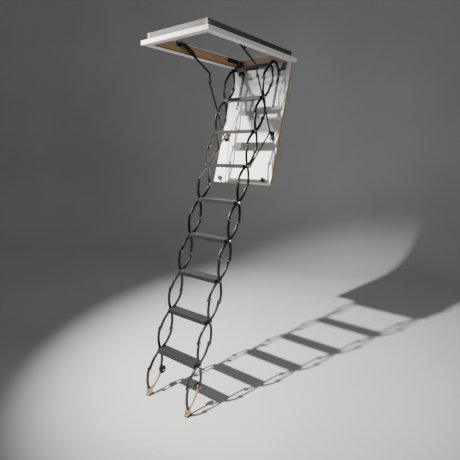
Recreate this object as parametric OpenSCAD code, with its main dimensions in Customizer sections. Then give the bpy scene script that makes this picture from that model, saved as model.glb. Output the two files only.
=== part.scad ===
// Concertina loft ladder: a ceiling frame, an overlay hatch and a scissor ladder with nine treads.
// Millimetres. X runs across the opening, +Y towards the hinges, +Z up. The origin is the centre of
// the opening in the plane of the ceiling's underside. It stands as it is used: hatch hanging open
// and ladder drawn down to the floor.

/* [Frame] */
// Overall width of the ceiling frame
frame_w = 600; // [560:5:760]
// Overall length of the ceiling frame
frame_len = 1100; // [1060:5:1400]
// Width of the white trim seen from below
trim_w = 50; // [44:1:60]
// Thickness of the trim's sheet
trim_t = 4; // [3:0.5:5]
// Height of the trim's outer lip
lip_h = 28; // [24:1:40]
// Thickness of the frame boards
board_t = 18; // [15:1:22]
// How far the frame boards reach above the ceiling's underside
board_top = 50; // [44:1:120]
// Thickness of the gasket between trim and boards
gasket_t = 6; // [2:0.5:8]

/* [Hatch] */
// Angle of the hanging hatch below the horizontal
hatch_open = 72; // [66:1:78]
// Width of the hatch
hatch_w = 564; // [530:2:620]
// Thickness of the hatch
hatch_t = 30; // [26:1:36]
// How far the hatch overlaps the trim at the free edge
hatch_lap = 16; // [10:1:30]
// Thickness of each white skin
skin_t = 2.5; // [2:0.5:3]

/* [Ladder] */
// Spacing of the treads along the slope
tread_pitch = 284.5; // [260:0.5:300]
// Slope of the ladder above the horizontal
slope = 67; // [63:1:70]
// Half the width of one oval, crossing line to knuckle
oval_half = 58; // [50:1:64]
// Distance between the middles of the left and right arm pairs
arms_apart = 372; // [340:2:400]
// Width of the bar the arms are made of
bar_w = 20; // [16:1:22]
// Thickness of that bar
bar_t = 8; // [6:1:8]
// Depth of a tread, front to back
tread_depth = 82; // [70:1:100]
// Height of a tread
tread_h = 26; // [22:1:30]

/* [Pivots] */
// Radius of the shaft at each tread
shaft_r = 7; // [6:0.5:8]
// Radius of the knuckle rivets
rivet_r = 5; // [4:0.5:6]
// Radius of the eyes at the arms' ends
eye_r = 14; // [12:0.5:15]
// Radial clearance of a turning joint
run_gap = 0.05; // [0.02:0.01:0.09]
// Radial clearance of a pin in the piece it is fixed to
fit_gap = 0.02; // [0.02:0.01:0.05]

/* [Stays and guide rods] */
// Thickness of the stay arms and guide rods
link_t = 5; // [4:0.5:6]
// Width of the stay arms and guide rods
link_w = 14; // [12:1:18]

/* [Hidden] */
$fn = 64;
treads = 9;

// Frame
open_x = frame_w / 2 - trim_w;
open_y = frame_len / 2 - trim_w;
lip_z = -lip_h;
board_z = lip_z + trim_t + gasket_t;

// Hatch: places on it are given as (u, w), u from the hinge axis to the free edge and w off its
// inner face, measured square to it through the hinge axis
hinge_y = open_y + 6;
hinge_z = lip_z - 10;
skin_w = 7;
back_w = skin_w - hatch_t;
hatch_u = hinge_y + open_y + hatch_lap;
nose_r = hatch_t;
nose_u = nose_r - skin_w;
hinge_x = 215;
hinge_len = 46;
barrel_r = 8.5;
hinge_pin_r = 3;
leaf_t = 2.4;
function on_hatch(u, w) = [0, hinge_y - u * cos(hatch_open) - w * sin(hatch_open),
                              hinge_z - u * sin(hatch_open) + w * cos(hatch_open)];

// Ladder: tread 1 is the top rung, carried on the hatch at (rung_u, rung_w)
rung_u = 85;
rung_w = 145;
rung_depth = 30;
arm_h = tread_pitch / 2;
arc_r = (oval_half * oval_half + arm_h * arm_h) / (2 * oval_half);
arc_deg = asin(arm_h / arc_r);
arc_lap = 1;
layer_gap = 1;
inner_x = arms_apart / 2 - layer_gap / 2 - bar_t;
outer_x = arms_apart / 2 + layer_gap / 2;
side_gap = 0.3;
tread_x = inner_x - side_gap;
cap_t = 3;
head_t = 4;
head_r = 9;
nut_t = 6;
nut_r = 11;
rib_count = 9;
rib_d = 1.5;
foot_r = 17;
function tread_at(k) = on_hatch(rung_u, rung_w)
    - (k - 1) * tread_pitch * [0, cos(slope), sin(slope)];

// Brackets that carry the top rung, one bowed plate and one foot strap on each side
bracket_x = 169;
bracket_t = 6;
strap_w = 22;
strap_t = 4;
strap_end_u = 380;
bow_u = rung_u + 7;
bow_w = rung_w - 69;
bow_r = norm([bow_u - rung_u, rung_w - bow_w]);

// Stays and guide rods
stay_x = 224;
link_gap = 1;
wall_pivot = [0, -240, board_top - 8];
stay_bend = [0, 76, -128];
stay_knee = [0, 80, -197];
spring_r = 10;
spring_up = link_w / 2 + spring_r + 1;
stay_foot_u = 650;
stay_foot_w = 30;
lower_x = stay_x + link_t + link_gap;
link_eye_r = 10;
elbow_r = link_w / 2 + 1.5;
rod_x = 211;
rod_u = 602;
rod_w = 35;
rod_tread = 4;

// ---- helpers ----

module both_sides() {
    children();
    mirror([1, 0, 0]) children();
}

// Children are drawn on the closed hatch about the hinge axis: -Y to the free edge, +Z inwards
module hatch_place() {
    translate([0, hinge_y, hinge_z]) rotate([hatch_open, 0, 0]) children();
}

// Children are drawn with +Z up the ladder and -Y to its front
module ladder_place(k) {
    translate(tread_at(k)) rotate([slope - 90, 0, 0]) children();
}

// Children are drawn in the plane of the ladder's side, thickness along Z, and stand at x
module in_side_plane(x) {
    translate([x, 0, 0]) rotate([90, 0, 90]) children();
}

module x_rod(r, x0, x1) {
    translate([x0, 0, 0]) rotate([0, 90, 0]) cylinder(r = r, h = x1 - x0);
}

// A flat bar in the YZ plane from a to b, square at its ends
module flat_bar(a, b, w, t) {
    d = b - a;
    translate(a) rotate([atan2(d[2], d[1]), 0, 0]) translate([0, 0, -w / 2]) cube([t, norm(d), w]);
}

// ---- ceiling frame ----

module board(size) {
    translate([0, 0, board_z]) cube(size);
}

module side_boards() color("burlywood")
    both_sides() difference() {
        translate([open_x, -open_y - board_t, 0])
            board([board_t, 2 * (open_y + board_t), board_top - board_z]);
        for (y = [-1, 1] * side_screw_y) translate([open_x - 1, y, screw_z])
            rotate([0, 90, 0]) cylinder(r = screw_hole_r, h = board_t + 2);
    }

side_screw_y = 360;
end_screw_x = 58;
screw_z = 34;
screw_hole_r = 3;

module end_boards() color("burlywood")
    for (s = [-1, 1]) difference() {
        translate([-open_x, s > 0 ? open_y : -open_y - board_t, 0])
            board([2 * open_x, board_t, board_top - board_z]);
        for (x = [-1, 1] * end_screw_x) translate([x, s * (open_y + board_t / 2) - board_t, screw_z])
            rotate([-90, 0, 0]) cylinder(r = screw_hole_r, h = 2 * board_t);
        if (s < 0) for (x = [-1, 1] * latch_x) translate([x, -open_y - keeper_bore_h, latch_z])
            rotate([-90, 0, 0]) cylinder(r = latch_bolt_r + 1.5, h = keeper_bore_h + 1);
    }

module ceiling_trim() color("white")
    difference() {
        translate([-frame_w / 2, -frame_len / 2, lip_z]) cube([frame_w, frame_len, lip_h]);
        translate([-frame_w / 2 + trim_t, -frame_len / 2 + trim_t, lip_z + trim_t])
            cube([frame_w - 2 * trim_t, frame_len - 2 * trim_t, lip_h]);
        translate([-open_x, -open_y, lip_z - 1]) cube([2 * open_x, 2 * open_y, lip_h]);
    }

module trim_gasket() color("dimgray")
    difference() {
        translate([-open_x - board_t, -open_y - board_t, lip_z + trim_t])
            cube([2 * (open_x + board_t), 2 * (open_y + board_t), gasket_t]);
        translate([-open_x, -open_y, lip_z]) cube([2 * open_x, 2 * open_y, lip_h]);
    }

// Countersunk screws that hold the boards' corners and the end board
module board_screws() color("silver")
    both_sides() for (y = [-1, 1] * (open_y + board_t / 2), z = [board_z + 20, board_top - 20])
        translate([open_x + board_t, y, z]) rotate([0, 90, 0]) cylinder(r = 4, h = 1.5);

// ---- hatch hinges ----

hinge_segments = 5;
plate_t = 5;
plate_len = 150;
plate_gap = 8;
hinge_seg = hinge_len / hinge_segments;
seg_gap = 0.3;

// Barrel segments first, first + 2 and so on, bored for the pin
module barrel(first, bore) {
    for (i = [first : 2 : hinge_segments - 1])
        translate([-hinge_len / 2 + i * hinge_seg + seg_gap / 2, 0, 0]) rotate([0, 90, 0])
            difference() {
                cylinder(r = barrel_r, h = hinge_seg - seg_gap);
                translate([0, 0, -1]) cylinder(r = bore, h = hinge_seg + 2);
            }
}

// The fixed leaf stands on the end board's face and turns under the trim to the barrel; a plate on
// the side board beside it stiffens the corner
module frame_hinges() color("#202020") {
    both_sides() translate([open_x - plate_t, open_y - plate_gap - plate_len, board_z + 26])
        cube([plate_t, plate_len, 36]);
    both_sides() translate([hinge_x, 0, 0]) difference() {
        union() {
            translate([-hinge_len / 2, open_y - leaf_t, lip_z]) cube([hinge_len, leaf_t, 56]);
            for (i = [0 : 2 : hinge_segments - 1])
                translate([-hinge_len / 2 + i * hinge_seg + seg_gap / 2, 0, 0]) {
                    translate([0, open_y - leaf_t, hinge_z + 1])
                        cube([hinge_seg - seg_gap, leaf_t, lip_z - hinge_z]);
                    translate([0, open_y - leaf_t, hinge_z - 1])
                        cube([hinge_seg - seg_gap, hinge_y - open_y + leaf_t, leaf_t]);
                    translate([0, hinge_y, hinge_z]) rotate([0, 90, 0])
                        cylinder(r = barrel_r, h = hinge_seg - seg_gap);
                }
        }
        translate([-hinge_len, hinge_y, hinge_z]) rotate([0, 90, 0])
            cylinder(r = hinge_pin_r + run_gap, h = 2 * hinge_len);
        for (x = [-14, 14]) translate([x, open_y - 2 * leaf_t, 8]) rotate([-90, 0, 0])
            cylinder(r = 2.5, h = 20);
    }
}

module hatch_hinges() color("#202020")
    hatch_place() both_sides() translate([hinge_x, 0, 0]) difference() {
        union() {
            barrel(1, hinge_pin_r + fit_gap);
            for (i = [1 : 2 : hinge_segments - 1])
                translate([-hinge_len / 2 + i * hinge_seg + seg_gap / 2, -16, skin_w - leaf_t])
                    difference() {
                        cube([hinge_seg - seg_gap, 16, leaf_t]);
                        translate([-1, 16, leaf_t - skin_w]) rotate([0, 90, 0])
                            cylinder(r = barrel_r - 1, h = hinge_seg + 2);
                    }
            translate([-hinge_len / 2, -62, skin_w]) cube([hinge_len, 50, leaf_t]);
            for (i = [1 : 2 : hinge_segments - 1])
                translate([-hinge_len / 2 + i * hinge_seg + seg_gap / 2, -16, skin_w - leaf_t])
                    cube([hinge_seg - seg_gap, 4, 2 * leaf_t]);
        }
        for (x = [-14, 14]) translate([x, -50, 0]) cylinder(r = 2.5, h = 20);
    }

module hinge_pins() color("silver")
    hatch_place() both_sides() translate([hinge_x, 0, 0])
        x_rod(hinge_pin_r, -hinge_len / 2 - 1, hinge_len / 2 + 1);

// ---- hatch ----

// Outline of the hatch's section between two depths below its inner face, nose round about its
// own centre
module hatch_slab(d0, d1, w) {
    translate([-w / 2, -hatch_u, skin_w - d1]) cube([w, hatch_u - nose_u, d1 - d0]);
}

module nose(r0, r1, w) {
    translate([-w / 2, -nose_u, skin_w]) rotate([90, 0, 90]) rotate([0, 0, -90])
        rotate_extrude(angle = 90) translate([r0, 0]) square([r1 - r0, w]);
}

module hinge_pockets()
    both_sides() translate([hinge_x - hinge_len / 2 - 2, -17, -barrel_r - 1.5])
        cube([hinge_len + 4, 30, 36]);

module hatch_core() color("#e6cfa8")
    hatch_place() difference() {
        union() {
            hatch_slab(skin_t, hatch_t - skin_t, hatch_w);
            difference() {
                nose(0, nose_r - skin_t - 0.1, hatch_w);
                translate([-hatch_w, -nose_u - 1, skin_w - skin_t]) cube([2 * hatch_w, 60, 10]);
            }
        }
        hinge_pockets();
        for (s = [-1, 1]) translate([s * latch_x - latch_case_w / 2, -latch_u1, -2])
            cube([latch_case_w, latch_u1 - latch_u0, 10]);
    }

module hatch_inner_skin() color("white")
    hatch_place() difference() {
        translate([-hatch_w / 2, -hatch_u, skin_w - skin_t])
            cube([hatch_w, hatch_u - nose_u + nose_r - 2 * skin_t, skin_t]);
        hinge_pockets();
        for (s = [-1, 1]) translate([s * latch_x - latch_case_w / 2, -latch_u1, -2])
            cube([latch_case_w, latch_u1 - latch_u0, 10]);
    }

module hatch_outer_skin() color("white")
    hatch_place() difference() {
        union() {
            hatch_slab(hatch_t - skin_t, hatch_t, hatch_w);
            nose(nose_r - skin_t, nose_r, hatch_w);
        }
        hinge_pockets();
    }

// ---- latches at the free edge ----

latch_x = 215;
latch_case_w = 20;
latch_u0 = hinge_y + open_y - 34;
latch_u1 = hinge_y + open_y - 4;
latch_w = 24;
latch_z = hinge_z + latch_w;
latch_bolt_r = 4;
latch_throw = 8;
keeper_bore_h = 10;
latch_wall = 2;

module latch_cases() color("#202020")
    hatch_place() for (s = [-1, 1]) translate([s * latch_x, 0, 0]) difference() {
        translate([-latch_case_w / 2, -latch_u1, -2]) cube([latch_case_w, latch_u1 - latch_u0, 36]);
        translate([-latch_case_w / 2 + latch_wall, -latch_u1 + latch_wall, 8])
            cube([latch_case_w - 2 * latch_wall, latch_u1 - latch_u0 - 2 * latch_wall, 24]);
        translate([0, -latch_u1 - 1, latch_w]) rotate([-90, 0, 0])
            cylinder(r = latch_bolt_r + run_gap, h = latch_wall + 2);
    }

// Sprung bolts with a collar inside the case and a bevelled tip
module latch_bolts() color("silver")
    hatch_place() for (s = [-1, 1]) translate([s * latch_x, 0, latch_w]) rotate([90, 0, 0]) {
        translate([0, 0, latch_u1 - latch_wall - latch_throw - 5])
            cylinder(r = latch_bolt_r, h = latch_wall + latch_throw + 5 + 9);
        translate([0, 0, latch_u1 - latch_wall - 3.2]) cylinder(r = latch_bolt_r + 2, h = 3);
        translate([0, 0, latch_u1 + 7]) cylinder(r1 = latch_bolt_r, r2 = 2, h = 4);
    }

module latch_keepers() color("silver")
    for (s = [-1, 1]) translate([s * latch_x, -open_y, latch_z]) rotate([-90, 0, 0])
        difference() {
            translate([-12, -7.5, 0]) cube([24, 26, 1.2]);
            translate([0, 0, -1]) cylinder(r = latch_bolt_r + 1.5, h = 4);
        }

// ---- scissor arms ----

// From the crossing to the knuckle at (oval_half, arm_h), bending outwards, its ends inside the eyes
module half_arc(t) {
    translate([oval_half - arc_r, arm_h, 0]) rotate([0, 0, -arc_deg - arc_lap])
        rotate_extrude(angle = arc_deg + 2 * arc_lap, $fn = 180)
            translate([arc_r - bar_w / 2, 0]) square([bar_w, t]);
}

module eye(p, r, t) {
    translate([p[0], p[1], 0]) cylinder(r = r, h = t);
}

// One S-shaped arm in its plane; upper and lower halves can be left out
module s_arm(t, upper, lower, cross_r, end_r) {
    difference() {
        union() {
            if (upper) {
                half_arc(t);
                eye([oval_half, arm_h], eye_r, t);
            }
            if (lower) {
                rotate([0, 0, 180]) half_arc(t);
                eye([-oval_half, -arm_h], eye_r, t);
            }
            if (cross_r > 0) eye([0, 0], eye_r, t);
        }
        if (cross_r > 0) translate([0, 0, -1]) cylinder(r = cross_r, h = t + 2);
        for (s = [-1, 1]) translate([s * oval_half, s * arm_h, -1]) cylinder(r = end_r, h = t + 2);
    }
}

// Inner arms run from the rear above to the front below
module inner_arms(k) color("#161616")
    ladder_place(k) both_sides() in_side_plane(inner_x)
        s_arm(bar_t, k > 1, true, shaft_r + run_gap, rivet_r + run_gap);

// Outer arms run from the front above to the rear below and carry the knuckle rivets
module outer_arms(k) color("#161616")
    ladder_place(k) both_sides() {
        in_side_plane(outer_x) mirror([1, 0, 0])
            s_arm(bar_t, k > 1, true, shaft_r + run_gap, rivet_r + fit_gap);
        if (k > 1) rivet(-oval_half, arm_h, inner_x - head_t - 0.1);
        rivet(oval_half, -arm_h, inner_x - head_t - (k == treads ? wheel_t + 0.6 : 0.1));
    }

// A knuckle rivet through both arms from x0, its heads clear of the bars
module rivet(y, z, x0) {
    translate([0, y, z]) {
        x_rod(rivet_r, x0, outer_x + bar_t + head_t + 0.1);
        x_rod(head_r, x0, x0 + head_t);
        x_rod(head_r, outer_x + bar_t + 0.1, outer_x + bar_t + 0.1 + head_t);
    }
}

// ---- treads ----

tread_wall = 3;
web_t = 4;

// A hollow ribbed extrusion with end caps, turning on its own shaft
module tread(k) color("#3a3a3a")
    translate(tread_at(k)) {
        difference() {
            translate([-tread_x + cap_t, -tread_depth / 2, -tread_h / 2])
                cube([2 * (tread_x - cap_t), tread_depth, tread_h]);
            for (s = [-1, 1]) translate([-tread_x, s > 0 ? eye_r - web_t : -tread_depth / 2 + tread_wall,
                                         -tread_h / 2 + tread_wall])
                cube([2 * tread_x, tread_depth / 2 - tread_wall - eye_r + web_t,
                      tread_h - 2 * tread_wall]);
            for (i = [0 : rib_count - 1])
                translate([-tread_x, -tread_depth / 2 + (i + 1) * tread_depth / (rib_count + 1) - 2,
                           tread_h / 2 - rib_d]) cube([2 * tread_x, 4, rib_d + 1]);
            x_rod(shaft_r + fit_gap, -tread_x, tread_x);
        }
        both_sides() difference() {
            translate([tread_x - cap_t + 0.05, -tread_depth / 2, -tread_h / 2])
                cube([cap_t - 0.05, tread_depth, tread_h]);
            x_rod(shaft_r + fit_gap, 0, tread_x + 1);
        }
        shaft(k);
    }

module shaft(k) {
    end_x = outer_x + bar_t + side_gap;
    x_rod(shaft_r, -end_x - 1, end_x + 1);
    both_sides() x_rod(nut_r, end_x, k == rod_tread ? rod_x - 1 : end_x + nut_t);
}

module top_rung() color("#161616")
    translate(tread_at(1)) {
        difference() {
            rotate([slope - 90, 0, 0]) translate([-bracket_x + side_gap, -rung_depth / 2, -tread_h / 2])
                cube([2 * (bracket_x - side_gap), rung_depth, tread_h]);
            x_rod(shaft_r + fit_gap, -bracket_x, bracket_x);
        }
        shaft(1);
    }

// ---- brackets that carry the ladder ----

module ladder_brackets() color("#161616")
    hatch_place() both_sides() difference() {
        union() {
            translate([bracket_x, -strap_end_u, skin_w])
                cube([strap_w, strap_end_u - bow_u + 42, strap_t]);
            // the bow from the rung round to the strap
            intersection() {
                translate([bracket_x, -bow_u, bow_w]) rotate([90, 0, 90]) rotate([0, 0, -96])
                    rotate_extrude(angle = 180, $fn = 120)
                        translate([bow_r - bar_w / 2, 0]) square([bar_w, bracket_t]);
                translate([0, -2 * bow_u, skin_w]) cube([400, 4 * bow_u, 200]);
            }
            translate([0, -rung_u, rung_w]) x_rod(eye_r, bracket_x, bracket_x + bracket_t);
        }
        translate([0, -rung_u, rung_w]) x_rod(shaft_r + fit_gap, bracket_x - 1, bracket_x + 20);
    }

// ---- stays ----

// A plate on the side board with the pivot pin of the stay
module stay_wall_brackets() color("#161616")
    both_sides() translate(wall_pivot) {
        translate([open_x - 4, -30, board_top - wall_pivot[2] - 34]) cube([4, 60, 34]);
        x_rod(rivet_r, stay_x - head_t, open_x - 1);
        x_rod(head_r, stay_x - head_t, stay_x - 0.1);
        x_rod(head_r, stay_x + link_t + 0.1, open_x - 1);
    }

module stay_upper_arms() color("#161616")
    both_sides() {
        translate([stay_x, 0, 0]) difference() {
            union() {
                flat_bar(wall_pivot, stay_bend, link_w, link_t);
                flat_bar(stay_bend, stay_knee, link_w, link_t);
                translate(stay_bend) x_rod(elbow_r, 0, link_t);
                for (p = [wall_pivot, stay_knee]) translate(p) x_rod(link_eye_r, 0, link_t);
            }
            translate(wall_pivot) x_rod(rivet_r + run_gap, -1, link_t + 1);
            translate(stay_knee) x_rod(rivet_r + fit_gap, -1, link_t + 1);
        }
        translate(stay_knee) {
            x_rod(rivet_r, stay_x - 1, stay_x + link_t);
            x_rod(head_r, stay_x - head_t, stay_x - 0.1);
        }
    }

// Gas springs above the upper arms, held by a lug at each end
module stay_springs() color("#161616") {
    d = stay_bend - wall_pivot;
    both_sides() translate(wall_pivot + [stay_x + link_t + 2, 0, 0])
        rotate([atan2(d[2], d[1]), 0, 0]) translate([0, 0, spring_up]) {
            translate([0, 42, 0]) rotate([-90, 0, 0]) cylinder(r = spring_r, h = 108);
            translate([0, 30, 0]) rotate([-90, 0, 0]) cylinder(r = 4, h = 146);
            for (y = [28, 168]) translate([-2, y, -spring_up - 6]) cube([6, 10, spring_up + 12]);
        }
}

module stay_lower_links() color("#161616")
    both_sides() {
        foot = on_hatch(stay_foot_u, stay_foot_w);
        translate([lower_x, 0, 0]) difference() {
            union() {
                flat_bar(stay_knee, foot, link_w, link_t);
                for (p = [foot, stay_knee]) translate(p) x_rod(link_eye_r, 0, link_t);
            }
            translate(foot) x_rod(rivet_r + run_gap, -1, link_t + 1);
            translate(stay_knee) x_rod(rivet_r + fit_gap, -1, link_t + 1);
        }
        translate(stay_knee) {
            x_rod(rivet_r, lower_x, lower_x + link_t + 1);
            x_rod(head_r, lower_x + link_t + 0.1, lower_x + link_t + head_t);
        }
    }

// One foot on the hatch holds the stay's pin on its outer ear and the rod's pin on its inner ear
ear_t = 5;
stay_ear_x = lower_x + link_t + 0.3;
rod_ear_x = rod_x - ear_t - 0.3;

module rod_brackets() color("#161616")
    hatch_place() both_sides() {
        translate([rod_ear_x, -stay_foot_u - 16, skin_w])
            cube([stay_ear_x + ear_t - rod_ear_x, stay_foot_u - rod_u + 32, 3]);
        bracket_ear(stay_ear_x, stay_foot_u, stay_foot_w);
        bracket_ear(rod_ear_x, rod_u, rod_w);
        translate([0, -stay_foot_u, stay_foot_w]) {
            x_rod(rivet_r, lower_x - head_t, stay_ear_x + 1);
            x_rod(head_r, lower_x - head_t, lower_x - 0.1);
        }
        translate([0, -rod_u, rod_w]) {
            x_rod(rivet_r, rod_ear_x + 1, rod_x + link_t + head_t);
            x_rod(head_r, rod_x + link_t + 0.1, rod_x + link_t + head_t);
        }
    }

module bracket_ear(x, u, w) {
    translate([x, -u - 13, skin_w]) cube([ear_t, 26, w - skin_w]);
    translate([0, -u, w]) x_rod(13, x, x + ear_t);
}

module guide_rods() color("#4a3524")
    both_sides() {
        a = on_hatch(rod_u, rod_w);
        b = tread_at(rod_tread);
        translate([rod_x, 0, 0]) difference() {
            union() {
                flat_bar(a, b, link_w, link_t);
                for (p = [a, b]) translate(p) x_rod(link_eye_r, 0, link_t);
            }
            translate(a) x_rod(rivet_r + run_gap, -1, link_t + 1);
            translate(b) x_rod(rivet_r + fit_gap, -1, link_t + 1);
        }
        translate(b) {
            x_rod(rivet_r, rod_x, rod_x + link_t + 1);
            x_rod(head_r, rod_x + link_t + 0.1, rod_x + link_t + head_t);
        }
    }

// ---- legs and feet ----

wheel_r = 28;
wheel_t = 14;
grips = 12;
shoe_t = 3;
foot_k = treads + 1;
foot_drop = 29;
shoe_base_t = 4;
sole_t = 5;

module front_legs() color("#161616")
    ladder_place(foot_k) both_sides() {
        in_side_plane(outer_x) mirror([1, 0, 0])
            s_arm(bar_t, true, false, shaft_r + run_gap, rivet_r + fit_gap);
        rivet(-oval_half, arm_h, inner_x - head_t - 0.1);
    }

module rear_legs() color("#b89b77")
    ladder_place(foot_k) both_sides() in_side_plane(inner_x)
        s_arm(bar_t, true, false, shaft_r + run_gap, rivet_r + run_gap);

// A bronze shoe with a cheek on each side of the leg ends, hung on the foot joint's bolt
module foot_shoes() color("#b89b77")
    translate(tread_at(foot_k)) both_sides() {
        x_rod(shaft_r, inner_x - 3, outer_x + bar_t + 3);
        difference() {
            for (x = [inner_x - side_gap - shoe_t, outer_x + bar_t + side_gap]) {
                x_rod(foot_r, x, x + shoe_t);
                translate([x, -foot_r, -foot_drop]) cube([shoe_t, 2 * foot_r, foot_drop]);
            }
            x_rod(shaft_r - 1, 0, frame_w);
        }
        translate([inner_x - side_gap - shoe_t, -foot_r, -foot_drop])
            cube([outer_x + bar_t - inner_x + 2 * (side_gap + shoe_t), 2 * foot_r, shoe_base_t]);
        for (x = [inner_x - side_gap - shoe_t - 3, outer_x + bar_t + side_gap + shoe_t])
            x_rod(nut_r, x, x + 3);
    }

// Rubber soles under the shoes, flat on the floor
module rubber_feet() color("#161616")
    translate(tread_at(foot_k)) both_sides()
        translate([inner_x - side_gap - shoe_t - 6, -foot_r - 5, -foot_drop - sole_t])
            cube([outer_x + bar_t - inner_x + 2 * (side_gap + shoe_t + 6), 2 * foot_r + 10, sole_t]);

module adjuster_wheels() color("#161616")
    ladder_place(foot_k) both_sides() translate([0, oval_half, arm_h]) difference() {
        x_rod(wheel_r, inner_x - wheel_t - 0.5, inner_x - 0.5);
        x_rod(rivet_r + run_gap, inner_x - wheel_t - 2, inner_x + 1);
        for (i = [0 : grips - 1]) rotate([i * 360 / grips, 0, 0]) translate([0, wheel_r + 1, 0])
            x_rod(3, inner_x - wheel_t - 2, inner_x + 1);
    }

// ---- nodes ----

side_boards();
end_boards();
ceiling_trim();
trim_gasket();
frame_hinges();
stay_wall_brackets();
hatch_core();
hatch_inner_skin();
hatch_outer_skin();
hatch_hinges();
hinge_pins();
ladder_brackets();
top_rung();
rod_brackets();
latch_cases();
latch_bolts();
latch_keepers();
stay_upper_arms();
stay_springs();
stay_lower_links();
guide_rods();
front_legs();
rear_legs();
foot_shoes();
rubber_feet();
adjuster_wheels();
board_screws();
for (k = [2 : treads])
    tread(k);
for (k = [1 : treads])
    inner_arms(k);
for (k = [1 : treads])
    outer_arms(k);
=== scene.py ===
import math

import bmesh
import bpy
from mathutils import Matrix, Vector


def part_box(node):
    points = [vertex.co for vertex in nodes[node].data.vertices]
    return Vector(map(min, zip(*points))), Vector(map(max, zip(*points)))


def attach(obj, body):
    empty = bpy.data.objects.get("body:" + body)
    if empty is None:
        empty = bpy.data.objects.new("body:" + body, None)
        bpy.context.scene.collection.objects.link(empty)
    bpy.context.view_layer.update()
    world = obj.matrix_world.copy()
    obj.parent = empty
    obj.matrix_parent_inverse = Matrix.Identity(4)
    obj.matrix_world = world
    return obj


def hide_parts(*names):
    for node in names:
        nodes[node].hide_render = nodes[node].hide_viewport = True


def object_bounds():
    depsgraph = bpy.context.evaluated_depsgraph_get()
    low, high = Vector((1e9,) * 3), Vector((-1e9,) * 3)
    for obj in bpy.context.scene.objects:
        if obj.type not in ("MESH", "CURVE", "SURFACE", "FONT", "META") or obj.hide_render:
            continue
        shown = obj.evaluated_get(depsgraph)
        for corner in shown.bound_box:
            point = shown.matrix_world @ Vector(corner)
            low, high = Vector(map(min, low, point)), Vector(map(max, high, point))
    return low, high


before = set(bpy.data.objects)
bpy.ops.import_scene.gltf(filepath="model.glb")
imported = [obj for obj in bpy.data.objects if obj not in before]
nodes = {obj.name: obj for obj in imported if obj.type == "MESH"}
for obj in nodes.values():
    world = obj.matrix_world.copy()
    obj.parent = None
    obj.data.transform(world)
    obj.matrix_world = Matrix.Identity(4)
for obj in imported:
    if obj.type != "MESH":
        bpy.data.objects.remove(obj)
cad_box = [list(map(float, corner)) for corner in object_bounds()]

# ---------------------------------------------------------------- camera

# It stands at the ladder's front right, a little above half the ladder's height, and looks slightly
# down. The small shift only frames the ladder.
view = bpy.data.cameras.new("camera")
view.lens = 30.23
view.sensor_width = 36.0
view.shift_x = -0.0111
view.shift_y = -0.0800
camera = bpy.data.objects.new("camera", view)
camera.location = (1.8419, -2.3490, -0.7232)
camera.rotation_euler = (math.radians(90 - 6.69), math.radians(0.11), math.radians(36.82))
bpy.context.scene.collection.objects.link(camera)
bpy.context.scene.camera = camera

# ---------------------------------------------------------------- floor

# A pale studio floor that curves up into a backdrop behind the ladder, like a paper roll.
# Matt paper: hardly any sheen, with faint broad clouds in its grey.


def srgb(text, alpha=1.0):
    """A hex sRGB colour as the linear colour that nodes take."""
    parts = [int(text[i : i + 2], 16) / 255 for i in (1, 3, 5)]
    return [p / 12.92 if p <= 0.04045 else ((p + 0.055) / 1.055) ** 2.4 for p in parts] + [alpha]


def add(tree, kind, links=None, values=None, stops=(), **settings):
    """Adds a shader node. links is {input: (node, output)}, values is {input: value}, stops is a
    colour ramp's [(position, hex colour), ...], and settings are the node's own properties."""
    n = tree.nodes.new("ShaderNode" + kind)
    for name, value in settings.items():
        setattr(n, name, value)
    for socket, value in (values or {}).items():
        n.inputs[socket].default_value = value
    for socket, (other, out) in (links or {}).items():
        tree.links.new(other.outputs[out], n.inputs[socket])
    if stops:
        ramp = n.color_ramp.elements
        while len(ramp) < len(stops):
            ramp.new(0.5)
        for e, (at, colour) in zip(ramp, stops):
            e.position, e.color = at, srgb(colour)
    return n


def begin(name):
    """A new material, its node tree and its shader."""
    m = bpy.data.materials.new(name)
    m.use_nodes = True
    return m, m.node_tree, m.node_tree.nodes["Principled BSDF"]


def finish_with(material, *objects):
    for o in objects:
        o.data.materials.clear()
        o.data.materials.append(material)


floor_z = cad_box[0][2] - 0.0005
front, bend, radius, half_width, wall = -5.5, 2.6, 1.4, 9.0, 7.0
curve = [(front, floor_z), (bend, floor_z)]
for i in range(1, 13):
    a = math.radians(90 * i / 12)
    curve.append((bend + radius * math.sin(a), floor_z + radius * (1 - math.cos(a))))
curve.append((bend + radius, floor_z + wall))
bm = bmesh.new()
line = [bm.verts.new((-half_width, y, z)) for y, z in curve]
edges = [bm.edges.new(pair) for pair in zip(line, line[1:])]
grown = bmesh.ops.extrude_edge_only(bm, edges=edges)["geom"]
moved = [v for v in grown if isinstance(v, bmesh.types.BMVert)]
bmesh.ops.translate(bm, verts=moved, vec=(2 * half_width, 0, 0))
bmesh.ops.transform(bm, matrix=Matrix.Rotation(math.radians(20), 4, "Z"), verts=bm.verts)
for f in bm.faces:
    f.smooth = True
mesh = bpy.data.meshes.new("floor")
bm.to_mesh(mesh)
bm.free()
floor = bpy.data.objects.new("floor", mesh)
bpy.context.scene.collection.objects.link(floor)

studio_floor, t, b = begin("studio_floor")
place = add(t, "TexCoord")
clouds = add(t, "TexNoise", {"Vector": (place, "Object")}, {"Scale": 0.7, "Detail": 3.0})
paper = add(t, "ValToRGB", {0: (clouds, 0)}, stops=[(0.3, "#b9bbbd"), (0.7, "#c2c4c6")])
t.links.new(paper.outputs[0], b.inputs["Base Color"])
b.inputs["Roughness"].default_value = 0.75
finish_with(studio_floor, floor)

# ---------------------------------------------------------------- light

# One round key lamp with a wholly soft edge, weak soft boxes that fill the dark sides, and a white
# card that is seen only where glossy surfaces mirror it.


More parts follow.
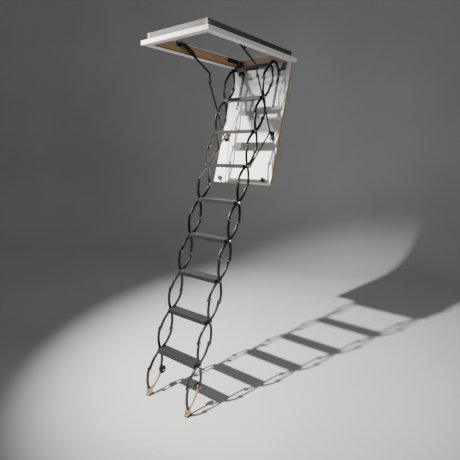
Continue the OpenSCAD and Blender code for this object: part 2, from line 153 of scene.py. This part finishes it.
def aim(name, light, at, direction, colour):
    light.color = srgb(colour)[:3]
    o = bpy.data.objects.new(name, light)
    o.location = at
    o.rotation_euler = Vector(direction).to_track_quat("-Z", "Y").to_euler()
    bpy.context.scene.collection.objects.link(o)
    return o


def soft_box(name, at, look, size, power, colour="#ffffff"):
    light = bpy.data.lights.new(name, "AREA")
    light.size, light.energy = size, power
    return aim(name, light, at, Vector(look) - Vector(at), colour)


soft_box("fill", (2.8, -3.2, 0.2), (0, 0, -1.0), 1.6, 12, "#eef3ff")
soft_box("back", (2.4, 1.2, 1.2), (0, 0, -1.0), 0.8, 10)
soft_box("bounce", (0.5, -1.3, -2.2), (0, 0.1, 0), 1.2, 9, "#fff4e6")
card = soft_box("reflected_card", (-1.75, -1.60, 1.05), (0, 0.35, -0.51), 1.8, 34)
card.visible_diffuse = False
key = bpy.data.lights.new("key", "SPOT")
key.energy, key.shadow_soft_size = 2500, 0.05
key.spot_size, key.spot_blend = math.radians(56), 1.0
aim("key", key, (-0.95, -2.3, 1.15), (0.24, 0.60, -0.76), "#fffaf4")
world = bpy.data.worlds.new("world")
bpy.context.scene.world = world
world.use_nodes = True
world.node_tree.nodes["Background"].inputs["Color"].default_value = srgb("#d3d1ce")
world.node_tree.nodes["Background"].inputs["Strength"].default_value = 0.24

# ---------------------------------------------------------------- boards of the frame

# Two side boards and two end boards of birch plywood, 18 mm thick and screwed at the corners.
# Their outer faces and top edges are painted dark grey as painted shade, so that they sink into the
# dark around them.


def plywood(name, grain_axis, layer_axis, tilt=0.0):
    """Sanded birch plywood: silky, with long pale and dark grain and glue lines every 2.2 mm."""
    across, along = 38.0, 2.2  # figure about 26 mm wide and 450 mm long
    fine_across, fine_along = 600.0, 14.0  # pores about 1.7 mm wide, drawn coarse enough to show
    layer = 0.0022
    m, t, b = begin(name)
    turned_place = add(
        t, "Mapping", {"Vector": (add(t, "TexCoord"), "Object")},
        {"Rotation": (math.radians(tilt), 0, 0)},
    )
    stretch = [along if i == grain_axis else across for i in range(3)]
    at = add(t, "Mapping", {"Vector": (turned_place, 0)}, {"Scale": stretch})
    figure = add(
        t, "TexNoise", {"Vector": (at, 0)},
        {"Scale": 1.0, "Detail": 8.0, "Roughness": 0.62, "Distortion": 0.6},
    )
    face = add(
        t, "ValToRGB", {0: (figure, 0)},
        stops=[(0.25, "#a37f55"), (0.45, "#c09d70"), (0.62, "#ccab80"), (0.85, "#b08c60")],
    )
    stretch = [fine_along if i == grain_axis else fine_across for i in range(3)]
    at = add(t, "Mapping", {"Vector": (turned_place, 0)}, {"Scale": stretch})
    pores = add(t, "TexNoise", {"Vector": (at, 0)}, {"Scale": 1.0, "Detail": 3.0})
    dark = add(t, "ValToRGB", {0: (pores, 0)}, stops=[(0.35, "#c8b79c"), (0.55, "#ffffff")])
    wood = add(
        t, "MixRGB", {"Color1": (face, 0), "Color2": (dark, 0)}, {"Fac": 0.7},
        blend_type="MULTIPLY",
    )
    split = add(t, "SeparateXYZ", {"Vector": (turned_place, 0)})
    wave = add(t, "Math", {0: (split, layer_axis)}, {1: layer}, operation="PINGPONG")
    glue = add(
        t, "MapRange", {"Value": (wave, 0)},
        {"From Min": 0.0, "From Max": layer, "To Min": 0.72, "To Max": 1.0},
    )
    colour = add(
        t, "MixRGB", {"Color1": (wood, 0), "Color2": (glue, 0)}, {"Fac": 0.55},
        blend_type="MULTIPLY",
    )
    t.links.new(colour.outputs[0], b.inputs["Base Color"])
    rough = add(
        t, "MapRange", {"Value": (figure, 0)},
        {"From Min": 0.2, "From Max": 0.8, "To Min": 0.42, "To Max": 0.60},
    )
    t.links.new(rough.outputs[0], b.inputs["Roughness"])
    rounded = add(t, "Bevel", values={"Radius": 0.0008}, samples=4)
    bump = add(
        t, "Bump", {"Height": (pores, 0), "Normal": (rounded, 0)},
        {"Strength": 0.15, "Distance": 0.0006},
    )
    t.links.new(bump.outputs[0], b.inputs["Normal"])
    return m


def painted_shade_outside(material, axis, limit, top):
    """Painted shade: dark grey where |axis| passes limit, which is a board's outer face, and above top.
    """
    t = material.node_tree
    b = t.nodes["Principled BSDF"]
    place = add(t, "TexCoord")
    split = add(t, "SeparateXYZ", {"Vector": (place, "Object")})
    size = add(t, "Math", {0: (split, axis)}, operation="ABSOLUTE")
    outer = add(t, "Math", {0: (size, 0)}, {1: limit}, operation="GREATER_THAN")
    above = add(t, "Math", {0: (split, 2)}, {1: top}, operation="GREATER_THAN")
    painted_shade_mask = add(t, "Math", {0: (outer, 0), 1: (above, 0)}, operation="MAXIMUM")
    clouds = add(t, "TexNoise", {"Vector": (place, "Object")}, {"Scale": 14.0, "Detail": 5.0})
    # The dark grey is painted shade.
    painted_shade_coat = add(t, "ValToRGB", {0: (clouds, 0)}, stops=[(0.3, "#38383a"), (0.7, "#424244")])
    wood = b.inputs["Base Color"].links[0].from_node
    mix = add(t, "MixRGB", {"Fac": (painted_shade_mask, 0), "Color1": (wood, 0), "Color2": (painted_shade_coat, 0)})
    t.links.new(mix.outputs[0], b.inputs["Base Color"])


X, Y, Z = 0, 1, 2
board_edge = 0.0498
side_ply = plywood("birch_plywood_side", Y, X)
painted_shade_outside(side_ply, X, 0.2676, board_edge)
finish_with(side_ply, nodes["side_boards"])
end_ply = plywood("birch_plywood_end", X, Y)
painted_shade_outside(end_ply, Y, 0.5176, board_edge)
finish_with(end_ply, nodes["end_boards"])

# ---------------------------------------------------------------- trim of the ceiling opening

# A folded sheet-steel trim with a lip, in white powder coat, mitred at its corners, where a hairline
# joint shows below. A dark foam gasket lies between it and the boards.


def painted(
    name, colour, shade, rough, peel, grain=900.0, wear_and_glint=None, wear_and_glint_amount=0.4, metallic=0.0,
    round_mm=0.8, coat=0.0,
):
    """A coat or moulding: two shades in broad patches, a fine orange peel, edges rounded by
    round_mm, and an edge colour on them that is rubbed wear, and on the black coat also a painted
    glint. grain is in cycles a metre."""
    m, t, b = begin(name)
    place = add(t, "TexCoord")
    patch = add(
        t, "TexNoise", {"Vector": (place, "Object")},
        {"Scale": 5.0, "Detail": 4.0, "Roughness": 0.6},
    )
    base = add(t, "ValToRGB", {0: (patch, 0)}, stops=[(0.3, colour), (0.7, shade)])
    fine = add(t, "TexNoise", {"Vector": (place, "Object")}, {"Scale": grain, "Detail": 2.0})
    rounded = add(t, "Bevel", values={"Radius": round_mm / 1000}, samples=4)
    bump = add(
        t, "Bump", {"Height": (fine, 0), "Normal": (rounded, 0)},
        {"Strength": peel, "Distance": 0.001},
    )
    t.links.new(bump.outputs[0], b.inputs["Normal"])
    sheen = add(
        t, "MapRange", {"Value": (patch, 0)},
        {"From Min": 0.2, "From Max": 0.8, "To Min": max(rough - 0.07, 0.03),
         "To Max": min(rough + 0.08, 1)},
    )
    t.links.new(sheen.outputs[0], b.inputs["Roughness"])
    b.inputs["Metallic"].default_value = metallic
    b.inputs["Coat Weight"].default_value = coat
    b.inputs["Coat Roughness"].default_value = 0.03
    # Edge colour: rubbed wear, and on the black coat also a painted glint.
    if wear_and_glint:
        flat = add(t, "NewGeometry")
        turn = add(
            t, "VectorMath", {0: (rounded, 0), 1: (flat, "Normal")}, operation="DOT_PRODUCT"
        )
        edge = add(
            t, "MapRange", {"Value": (turn, "Value")},
            {"From Min": 0.995, "From Max": 0.80, "To Min": 0.0, "To Max": 1.0},
        )
        edge_breakup = add(
            t, "TexNoise", {"Vector": (place, "Object")},
            {"Scale": 70.0, "Detail": 5.0, "Roughness": 0.7},
        )
        thin = add(t, "ValToRGB", {0: (edge_breakup, 0)}, stops=[(0.45, "#000000"), (0.62, "#ffffff")])
        wear_and_glint_mask = add(t, "Math", {0: (edge, 0), 1: (thin, 0)}, operation="MULTIPLY")
        amount = add(t, "Math", {0: (wear_and_glint_mask, 0)}, {1: wear_and_glint_amount}, operation="MULTIPLY")
        base = add(
            t, "MixRGB", {"Fac": (amount, 0), "Color1": (base, 0)}, {"Color2": srgb(wear_and_glint)}
        )
    t.links.new(base.outputs[0], b.inputs["Base Color"])
    return m


def piece(name, bm, material, body, smooth_deg=35):
    """Turns a bmesh into an object that rides on a body."""
    bmesh.ops.recalc_face_normals(bm, faces=bm.faces)
    for f in bm.faces:
        f.smooth = True
    for e in bm.edges:
        if len(e.link_faces) == 2 and e.calc_face_angle(0) > math.radians(smooth_deg):
            e.smooth = False
    mesh = bpy.data.meshes.new(name)
    bm.to_mesh(mesh)
    bm.free()
    mesh.materials.append(material)
    o = bpy.data.objects.new(name, mesh)
    bpy.context.scene.collection.objects.link(o)
    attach(o, body)
    return o


# White powder coat: satin, and slightly greyer where edges are rubbed.
white_coat = painted(
    "white_powder_coat", "#e6e7e8", "#ebecec", 0.36, 0.05, wear_and_glint="#c4c4c4", wear_and_glint_amount=0.2
)
# Black rubber: dull and grainy.
rubber = painted("black_rubber", "#161616", "#1c1c1c", 0.72, 0.45, grain=700.0)
finish_with(white_coat, nodes["ceiling_trim"])
finish_with(rubber, nodes["trim_gasket"])

bm = bmesh.new()
for sx in (1, -1):
    for sy in (1, -1):
        inner = Vector((sx * 0.2502, sy * 0.5002, 0))
        outer = Vector((sx * 0.2994, sy * 0.5494, 0))
        along = outer - inner
        across = Vector((-along.y, along.x, 0)).normalized() * 0.00035
        corners = [
            bm.verts.new(p + d + Vector((0, 0, z)))
            for z in (-0.02805, -0.0279)
            for p, d in ((inner, across), (outer, across), (outer, -across), (inner, -across))
        ]
        bmesh.ops.convex_hull(bm, input=corners)
piece("trim_joints", bm, rubber, "frame")

# ---------------------------------------------------------------- white edging on the boards

# A thin white strip with a rounded nose covers the top of the boards' inner faces all round.
# It is pressed on and mitred at the corners.
bm = bmesh.new()
strip = [(0.0, 0.0435), (0.0010, 0.0438), (0.0013, 0.0450), (0.0013, 0.0485), (0.0010, 0.0497),
         (0.0, 0.0500)]
rings = [
    [bm.verts.new((sx * (0.25 - d), sy * (0.5 - d), z)) for d, z in strip]
    for sx, sy in ((1, 1), (1, -1), (-1, -1), (-1, 1))
]
for one, two in zip(rings, rings[1:] + rings[:1]):
    for j in range(-1, len(strip) - 1):
        bm.faces.new((one[j], one[j + 1], two[j + 1], two[j]))
piece("board_edging", bm, white_coat, "frame")

# ---------------------------------------------------------------- hatch

# A plywood panel between two hardboard skins faced with gloss white laminate. The outer skin wraps
# round the hinge edge. The laminate is smooth enough to mirror the card and the ladder softly.
OPEN = math.radians(72)
HINGE = Vector((0, 0.506, -0.038))
HATCH_TURN = Matrix.Rotation(OPEN, 4, "X")
HATCH = Matrix.Translation(HINGE) @ HATCH_TURN
out_of_hatch = HATCH_TURN @ Vector((0, 0, 1))


def on_hatch(x, u, w):
    """The point x across the hatch, u from its hinge and w out of its inner face."""
    return HATCH @ Vector((x, -u, w))


laminate = painted(
    "gloss_white_laminate", "#ecedee", "#e6e7e9", 0.07, 0.008, grain=60.0, round_mm=1.2, coat=1.0
)
finish_with(plywood("birch_plywood_hatch", Y, Z, -72), nodes["hatch_core"])
finish_with(laminate, nodes["hatch_inner_skin"], nodes["hatch_outer_skin"])

# ---------------------------------------------------------------- hinges, brackets and stays

# Black powder-coated steel: the hinge leaves, the stays with their gas springs, and the brackets
# that carry the ladder. The coat is satin. Its edges are painted bronze-brown, partly as rubbed steel
# and partly as a painted glint.
black = painted(
    "black_powder_coat", "#0e0e0e", "#151515", 0.24, 0.08, wear_and_glint="#8a7458", wear_and_glint_amount=0.6,
    round_mm=1.6,
)
finish_with(black, *[nodes[n] for n in (
    "frame_hinges", "stay_wall_brackets", "hatch_hinges", "ladder_brackets", "top_rung",
    "rod_brackets", "latch_cases", "stay_upper_arms", "stay_springs", "stay_lower_links")])

# ---------------------------------------------------------------- plated fittings

# Zinc-plated steel: hinge pins, latch bolts, their keepers and the corner screws. It is bright and
# finely brushed.
BRUSH = (1, 1, 60)
zinc, t, b = begin("zinc_plated_steel")
at = add(t, "Mapping", {"Vector": (add(t, "TexCoord"), "Object")}, {"Scale": BRUSH})
lines = add(t, "TexNoise", {"Vector": (at, 0)}, {"Scale": 60.0, "Detail": 6.0, "Roughness": 0.6})
plate = add(t, "ValToRGB", {0: (lines, 0)}, stops=[(0.35, "#c9cbcf"), (0.7, "#9fa2a8")])
t.links.new(plate.outputs[0], b.inputs["Base Color"])
sheen = add(
    t, "MapRange", {"Value": (lines, 0)},
    {"From Min": 0.3, "From Max": 0.7, "To Min": 0.16, "To Max": 0.36},
)
t.links.new(sheen.outputs[0], b.inputs["Roughness"])
b.inputs["Metallic"].default_value = 1.0
rounded = add(t, "Bevel", values={"Radius": 0.0004}, samples=4)
bump = add(
    t, "Bump", {"Height": (lines, 0), "Normal": (rounded, 0)},
    {"Strength": 0.08, "Distance": 0.0005},
)
t.links.new(bump.outputs[0], b.inputs["Normal"])
finish_with(
    zinc, nodes["hinge_pins"], nodes["latch_bolts"], nodes["latch_keepers"], nodes["board_screws"]
)

# ---------------------------------------------------------------- screws

# Zinc-plated pan-head screws with a cross recess hold the straps, hinges, brackets and latch cases.


def lathe(bm, profile, origin=(0, 0, 0), axis="z", direction=1, steps=28):
    """Spins (distance along, radius) points about an axis, then moves them to origin."""
    before = set(bm.verts)
    ways = {"x": (Vector((1, 0, 0)), Vector((0, 1, 0))), "z": (Vector((0, 0, 1)), Vector((1, 0, 0)))}
    along, out = ways[axis]
    vs = [bm.verts.new(along * d * direction + out * r) for d, r in profile]
    es = [bm.edges.new(pair) for pair in zip(vs, vs[1:])]
    bmesh.ops.spin(
        bm, geom=vs + es, cent=(0, 0, 0), axis=along, angle=2 * math.pi, steps=steps
    )
    bmesh.ops.remove_doubles(bm, verts=[v for v in bm.verts if v not in before], dist=1e-6)
    new = [v for v in bm.verts if v not in before]
    bmesh.ops.translate(bm, verts=new, vec=origin)
    return new


def turned(bm, verts, at, normal, twist=0.0):
    """Moves verts built along +Z to a place and direction."""
    m = Vector(normal).to_track_quat("Z", "Y").to_matrix().to_4x4() @ Matrix.Rotation(twist, 4, "Z")
    bmesh.ops.transform(bm, matrix=Matrix.Translation(at) @ m, verts=verts)


def screw(bm, at, normal, r=0.0042, twist=0.0):
    """A pan head of radius r with a cross recess, its face turned to normal."""
    head = lathe(bm, [(0.0, r), (r * 0.25, r * 0.98), (r * 0.45, r * 0.85), (r * 0.6, r * 0.6),
                      (r * 0.66, 0.0)], steps=20)
    cross = []
    for a in (0, math.pi / 2):
        bar = bmesh.ops.create_cube(bm, size=1.0)["verts"]
        bmesh.ops.scale(bm, verts=bar, vec=(r * 0.95, r * 0.2, r * 0.12))
        bmesh.ops.rotate(bm, verts=bar, cent=(0, 0, 0), matrix=Matrix.Rotation(a, 3, "Z"))
        bmesh.ops.translate(bm, verts=bar, vec=(0, 0, r * 0.64))
        cross += bar
    turned(bm, head + cross, at, normal, twist)


bm = bmesh.new()
for side in (1, -1):
    for i, u in enumerate((0.125, 0.195, 0.265, 0.355)):
        screw(bm, on_hatch(side * 0.180, u, 0.011), out_of_hatch, 0.0048, 0.4 + i)
    for dx in (-0.014, 0.014):
        screw(bm, on_hatch(side * 0.215 + dx, 0.050, 0.0092), out_of_hatch, 0.0040, 0.9)
    for u in (0.594, 0.628, 0.658):
        screw(bm, on_hatch(side * 0.2235, u, 0.010), out_of_hatch, 0.0042, 20 * u)
piece("hatch_screws", bm, zinc, "hatch")

bm = bmesh.new()
for side in (1, -1):
    for dx in (-0.014, 0.014):
        screw(bm, Vector((side * 0.215 + dx, 0.4978, 0.008)), (0, -1, 0), 0.0040, 0.5)
    for y, z in ((-0.263, 0.042), (-0.263, 0.024), (-0.217, 0.042), (-0.217, 0.024)):
        screw(bm, Vector((side * 0.246, y, z)), (-side, 0, 0), 0.0042, 30 * z)
    screw(bm, Vector((side * 0.215, -0.4988, -0.001)), (0, 1, 0), 0.0032, 0.2)
piece("frame_screws", bm, zinc, "frame")

# ---------------------------------------------------------------- latch lids

# A pressed steel lid with rounded edges closes the inner face of each latch case. It is black like
# the case and held by two small screws.


def rounded_block(bm, size, edge, segments, profile):
    """A block of that size about the origin, with every edge rounded."""
    block = bmesh.ops.create_cube(bm, size=1.0)["verts"]
    bmesh.ops.scale(bm, verts=block, vec=size)
    cut = bmesh.ops.bevel(
        bm, geom=list({e for v in block for e in v.link_edges}), offset=edge, segments=segments,
        affect="EDGES", profile=profile,
    )
    return list({v for v in block if v.is_valid} | set(cut["verts"]))


bm = bmesh.new()
for side in (1, -1):
    lid = rounded_block(bm, (0.0208, 0.0308, 0.0022), 0.0008, 2, 0.7)
    place = Matrix.Translation(on_hatch(side * 0.215, 0.987, 0.0348)) @ HATCH_TURN
    bmesh.ops.transform(bm, matrix=place, verts=lid)
    for u in (0.977, 0.997):
        screw(bm, on_hatch(side * 0.215, u, 0.0358), out_of_hatch, 0.0026, 60 * u)
piece("latch_lids", bm, black, "hatch")

# ---------------------------------------------------------------- guide rods

# Two flat steel bars from the hatch to the fourth tread, in a brown metallic coat.
brown = painted(
    "brown_metallic_coat", "#584129", "#644c33", 0.32, 0.10, wear_and_glint="#7a6042", metallic=0.3
)
finish_with(brown, nodes["guide_rods"])

# ---------------------------------------------------------------- arms of the scissor

# Curved flat bars that cross at each tread, in the same black coat as the brackets. A domed,
# zinc-plated head closes each knuckle rivet, outside and inside, and rides on the outer arm.
SLOPE = math.radians(67)
PITCH = 0.2845
AXIS = Vector((0, -math.cos(SLOPE), -math.sin(SLOPE)))
REAR = Vector((0, math.sin(SLOPE), -math.cos(SLOPE)))
OVAL_HALF = 0.058


def tread_at(k, x=0.0):
    """The middle of tread k's shaft, where tread 1 is the top rung."""
    return on_hatch(x, 0.085, 0.145) + AXIS * PITCH * (k - 1)


for k in range(1, 10):
    finish_with(black, nodes[f"inner_arms_{k}"], nodes[f"outer_arms_{k}"])

DOME = [(0.0, 0.0074), (0.0006, 0.0078), (0.0012, 0.0076), (0.0024, 0.0066), (0.0032, 0.0048),
        (0.0035, 0.0032), (0.0028, 0.0031), (0.0022, 0.0030), (0.0022, 0.0)]
OUTSIDE_X, INSIDE_X, INSIDE_LAST_X = 0.19865, 0.17335, 0.15885
LEGS = 10  # the front legs carry the last knuckles' rivets, as a tenth outer arm would
for k in range(1, LEGS + 1):
    at = []
    if k > 1:
        at.append(tread_at(k) - REAR * OVAL_HALF - AXIS * PITCH / 2)
    if k < LEGS:
        at.append(tread_at(k) + REAR * OVAL_HALF + AXIS * PITCH / 2)
    bm = bmesh.new()
    for centre in at:
        last = k == 9 and centre.z < tread_at(9).z
        inside = INSIDE_LAST_X if last else INSIDE_X
        for s in (1, -1):
            lathe(bm, DOME, centre + Vector((s * OUTSIDE_X, 0, 0)), "x", s)
            lathe(bm, DOME[:5] + [(0.0034, 0.0)], centre + Vector((s * inside, 0, 0)), "x", -s)
    body = "front_leg_pair" if k == LEGS else f"outer_{k}"
    piece(f"knuckle_bolts_{k}", bm, zinc, body)

# ---------------------------------------------------------------- treads

# Hollow ribbed aluminium extrusions in a dark grey textured coat. Soft black beads lie in their
# grooves for grip.
grey_coat = painted(
    "grey_textured_coat", "#151516", "#1d1d1e", 0.48, 0.25, grain=1400.0, wear_and_glint="#7c7c7f",
    wear_and_glint_amount=0.45,
)
TREAD_DEPTH, BEADS, BEAD_R, BEAD_HALF = 0.082, 9, 0.0016, 0.1735
for k in range(2, 10):
    finish_with(grey_coat, nodes[f"tread_{k}"])
    low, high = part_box(f"tread_{k}")
    bm = bmesh.new()
    for i in range(BEADS):
        y = low.y + TREAD_DEPTH * (i + 1) / (BEADS + 1)
        arc = [math.radians(180 * j / 6) for j in range(7)]
        end = bm.faces.new([
            bm.verts.new((-BEAD_HALF, y + BEAD_R * math.cos(a), high.z - 0.0014 + BEAD_R * math.sin(a)))
            for a in arc
        ])
        grown = bmesh.ops.extrude_face_region(bm, geom=[end])["geom"]
        far_end = [v for v in grown if isinstance(v, bmesh.types.BMVert)]
        bmesh.ops.translate(bm, verts=far_end, vec=(2 * BEAD_HALF, 0, 0))
    piece(f"grip_beads_{k}", bm, rubber, f"step_{k}")

# ---------------------------------------------------------------- nuts on the tread shafts

# Each tread's shaft ends in a zinc-plated hexagon nut, with the shaft's domed end showing. The
# fourth tread's collars carry the guide rods, so they keep plain ends.
NUT_ACROSS, NUT_HEIGHT, NUT_X, ROD_TREAD = 0.0165, 0.0042, 0.2008, 4


def hex_nut(bm, at, normal, twist):
    r, h = NUT_ACROSS / math.sqrt(3), NUT_HEIGHT
    nut = bmesh.ops.create_cone(
        bm, cap_ends=True, segments=6, radius1=r, radius2=r, depth=h
    )["verts"]
    bmesh.ops.translate(bm, verts=nut, vec=(0, 0, h / 2))
    edges = {e for v in nut for e in v.link_edges}
    rim = [e for e in edges if all(v.co.z > h * 0.9 for v in e.verts)]
    cut = bmesh.ops.bevel(
        bm, geom=rim, offset=r * 0.09, segments=2, affect="EDGES", profile=0.6
    )
    nut = list({v for v in nut if v.is_valid} | set(cut["verts"]))
    end = lathe(bm, [(h, r * 0.52), (h + 0.0012, r * 0.5), (h + 0.002, r * 0.36),
                     (h + 0.0022, 0.0)], steps=20)
    turned(bm, nut + end, at, normal, twist)


for k in range(1, 10):
    if k == ROD_TREAD:
        continue
    bm = bmesh.new()
    for side in (1, -1):
        hex_nut(bm, tread_at(k, side * NUT_X), (side, 0, 0), 0.3 + 0.7 * k)
    body = "hatch" if k == 1 else f"step_{k}"
    piece(f"shaft_nuts_{k}", bm, zinc, body)

# ---------------------------------------------------------------- legs, shoes and wheels

# The front legs and the notched adjuster wheels are black like the arms. The rear legs and the
# cast shoes have a bronze metallic coat, rubbed paler at the edges.
bronze = painted(
    "bronze_metallic_coat", "#b39a76", "#bda584", 0.34, 0.12, wear_and_glint="#e0d2b8", metallic=0.25
)
finish_with(black, nodes["front_legs"], nodes["adjuster_wheels"])
finish_with(bronze, nodes["rear_legs"], nodes["foot_shoes"])

# ---------------------------------------------------------------- soles

# Each shoe stands on a moulded rubber sole with rounded edges and a row of cleats. The soles stand
# for the plain rubber feet.
finish_with(rubber, nodes["rubber_feet"])
SOLE_WIDTH, PAD_HEIGHT, CLEATS, CLEAT_DEPTH, CLEAT_HEIGHT = 0.0356, 0.0032, 6, 0.0044, 0.0024
low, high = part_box("rubber_feet")
bm = bmesh.new()
for side in (1, -1):
    x, y = side * (high.x - SOLE_WIDTH / 2), (low.y + high.y) / 2
    pad = rounded_block(bm, (SOLE_WIDTH, high.y - low.y, PAD_HEIGHT), 0.0012, 3, 0.6)
    bmesh.ops.translate(bm, verts=pad, vec=(x, y, high.z - PAD_HEIGHT / 2))
    for i in range(CLEATS):
        cleat = bmesh.ops.create_cube(bm, size=1.0)["verts"]
        bmesh.ops.scale(bm, verts=cleat, vec=(SOLE_WIDTH - 0.002, CLEAT_DEPTH, CLEAT_HEIGHT))
        row = low.y + (high.y - low.y) * (i + 0.5) / CLEATS
        bmesh.ops.translate(bm, verts=cleat, vec=(x, row, low.z + CLEAT_HEIGHT / 2))
soles = piece("soles", bm, rubber, "feet")
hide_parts("rubber_feet")
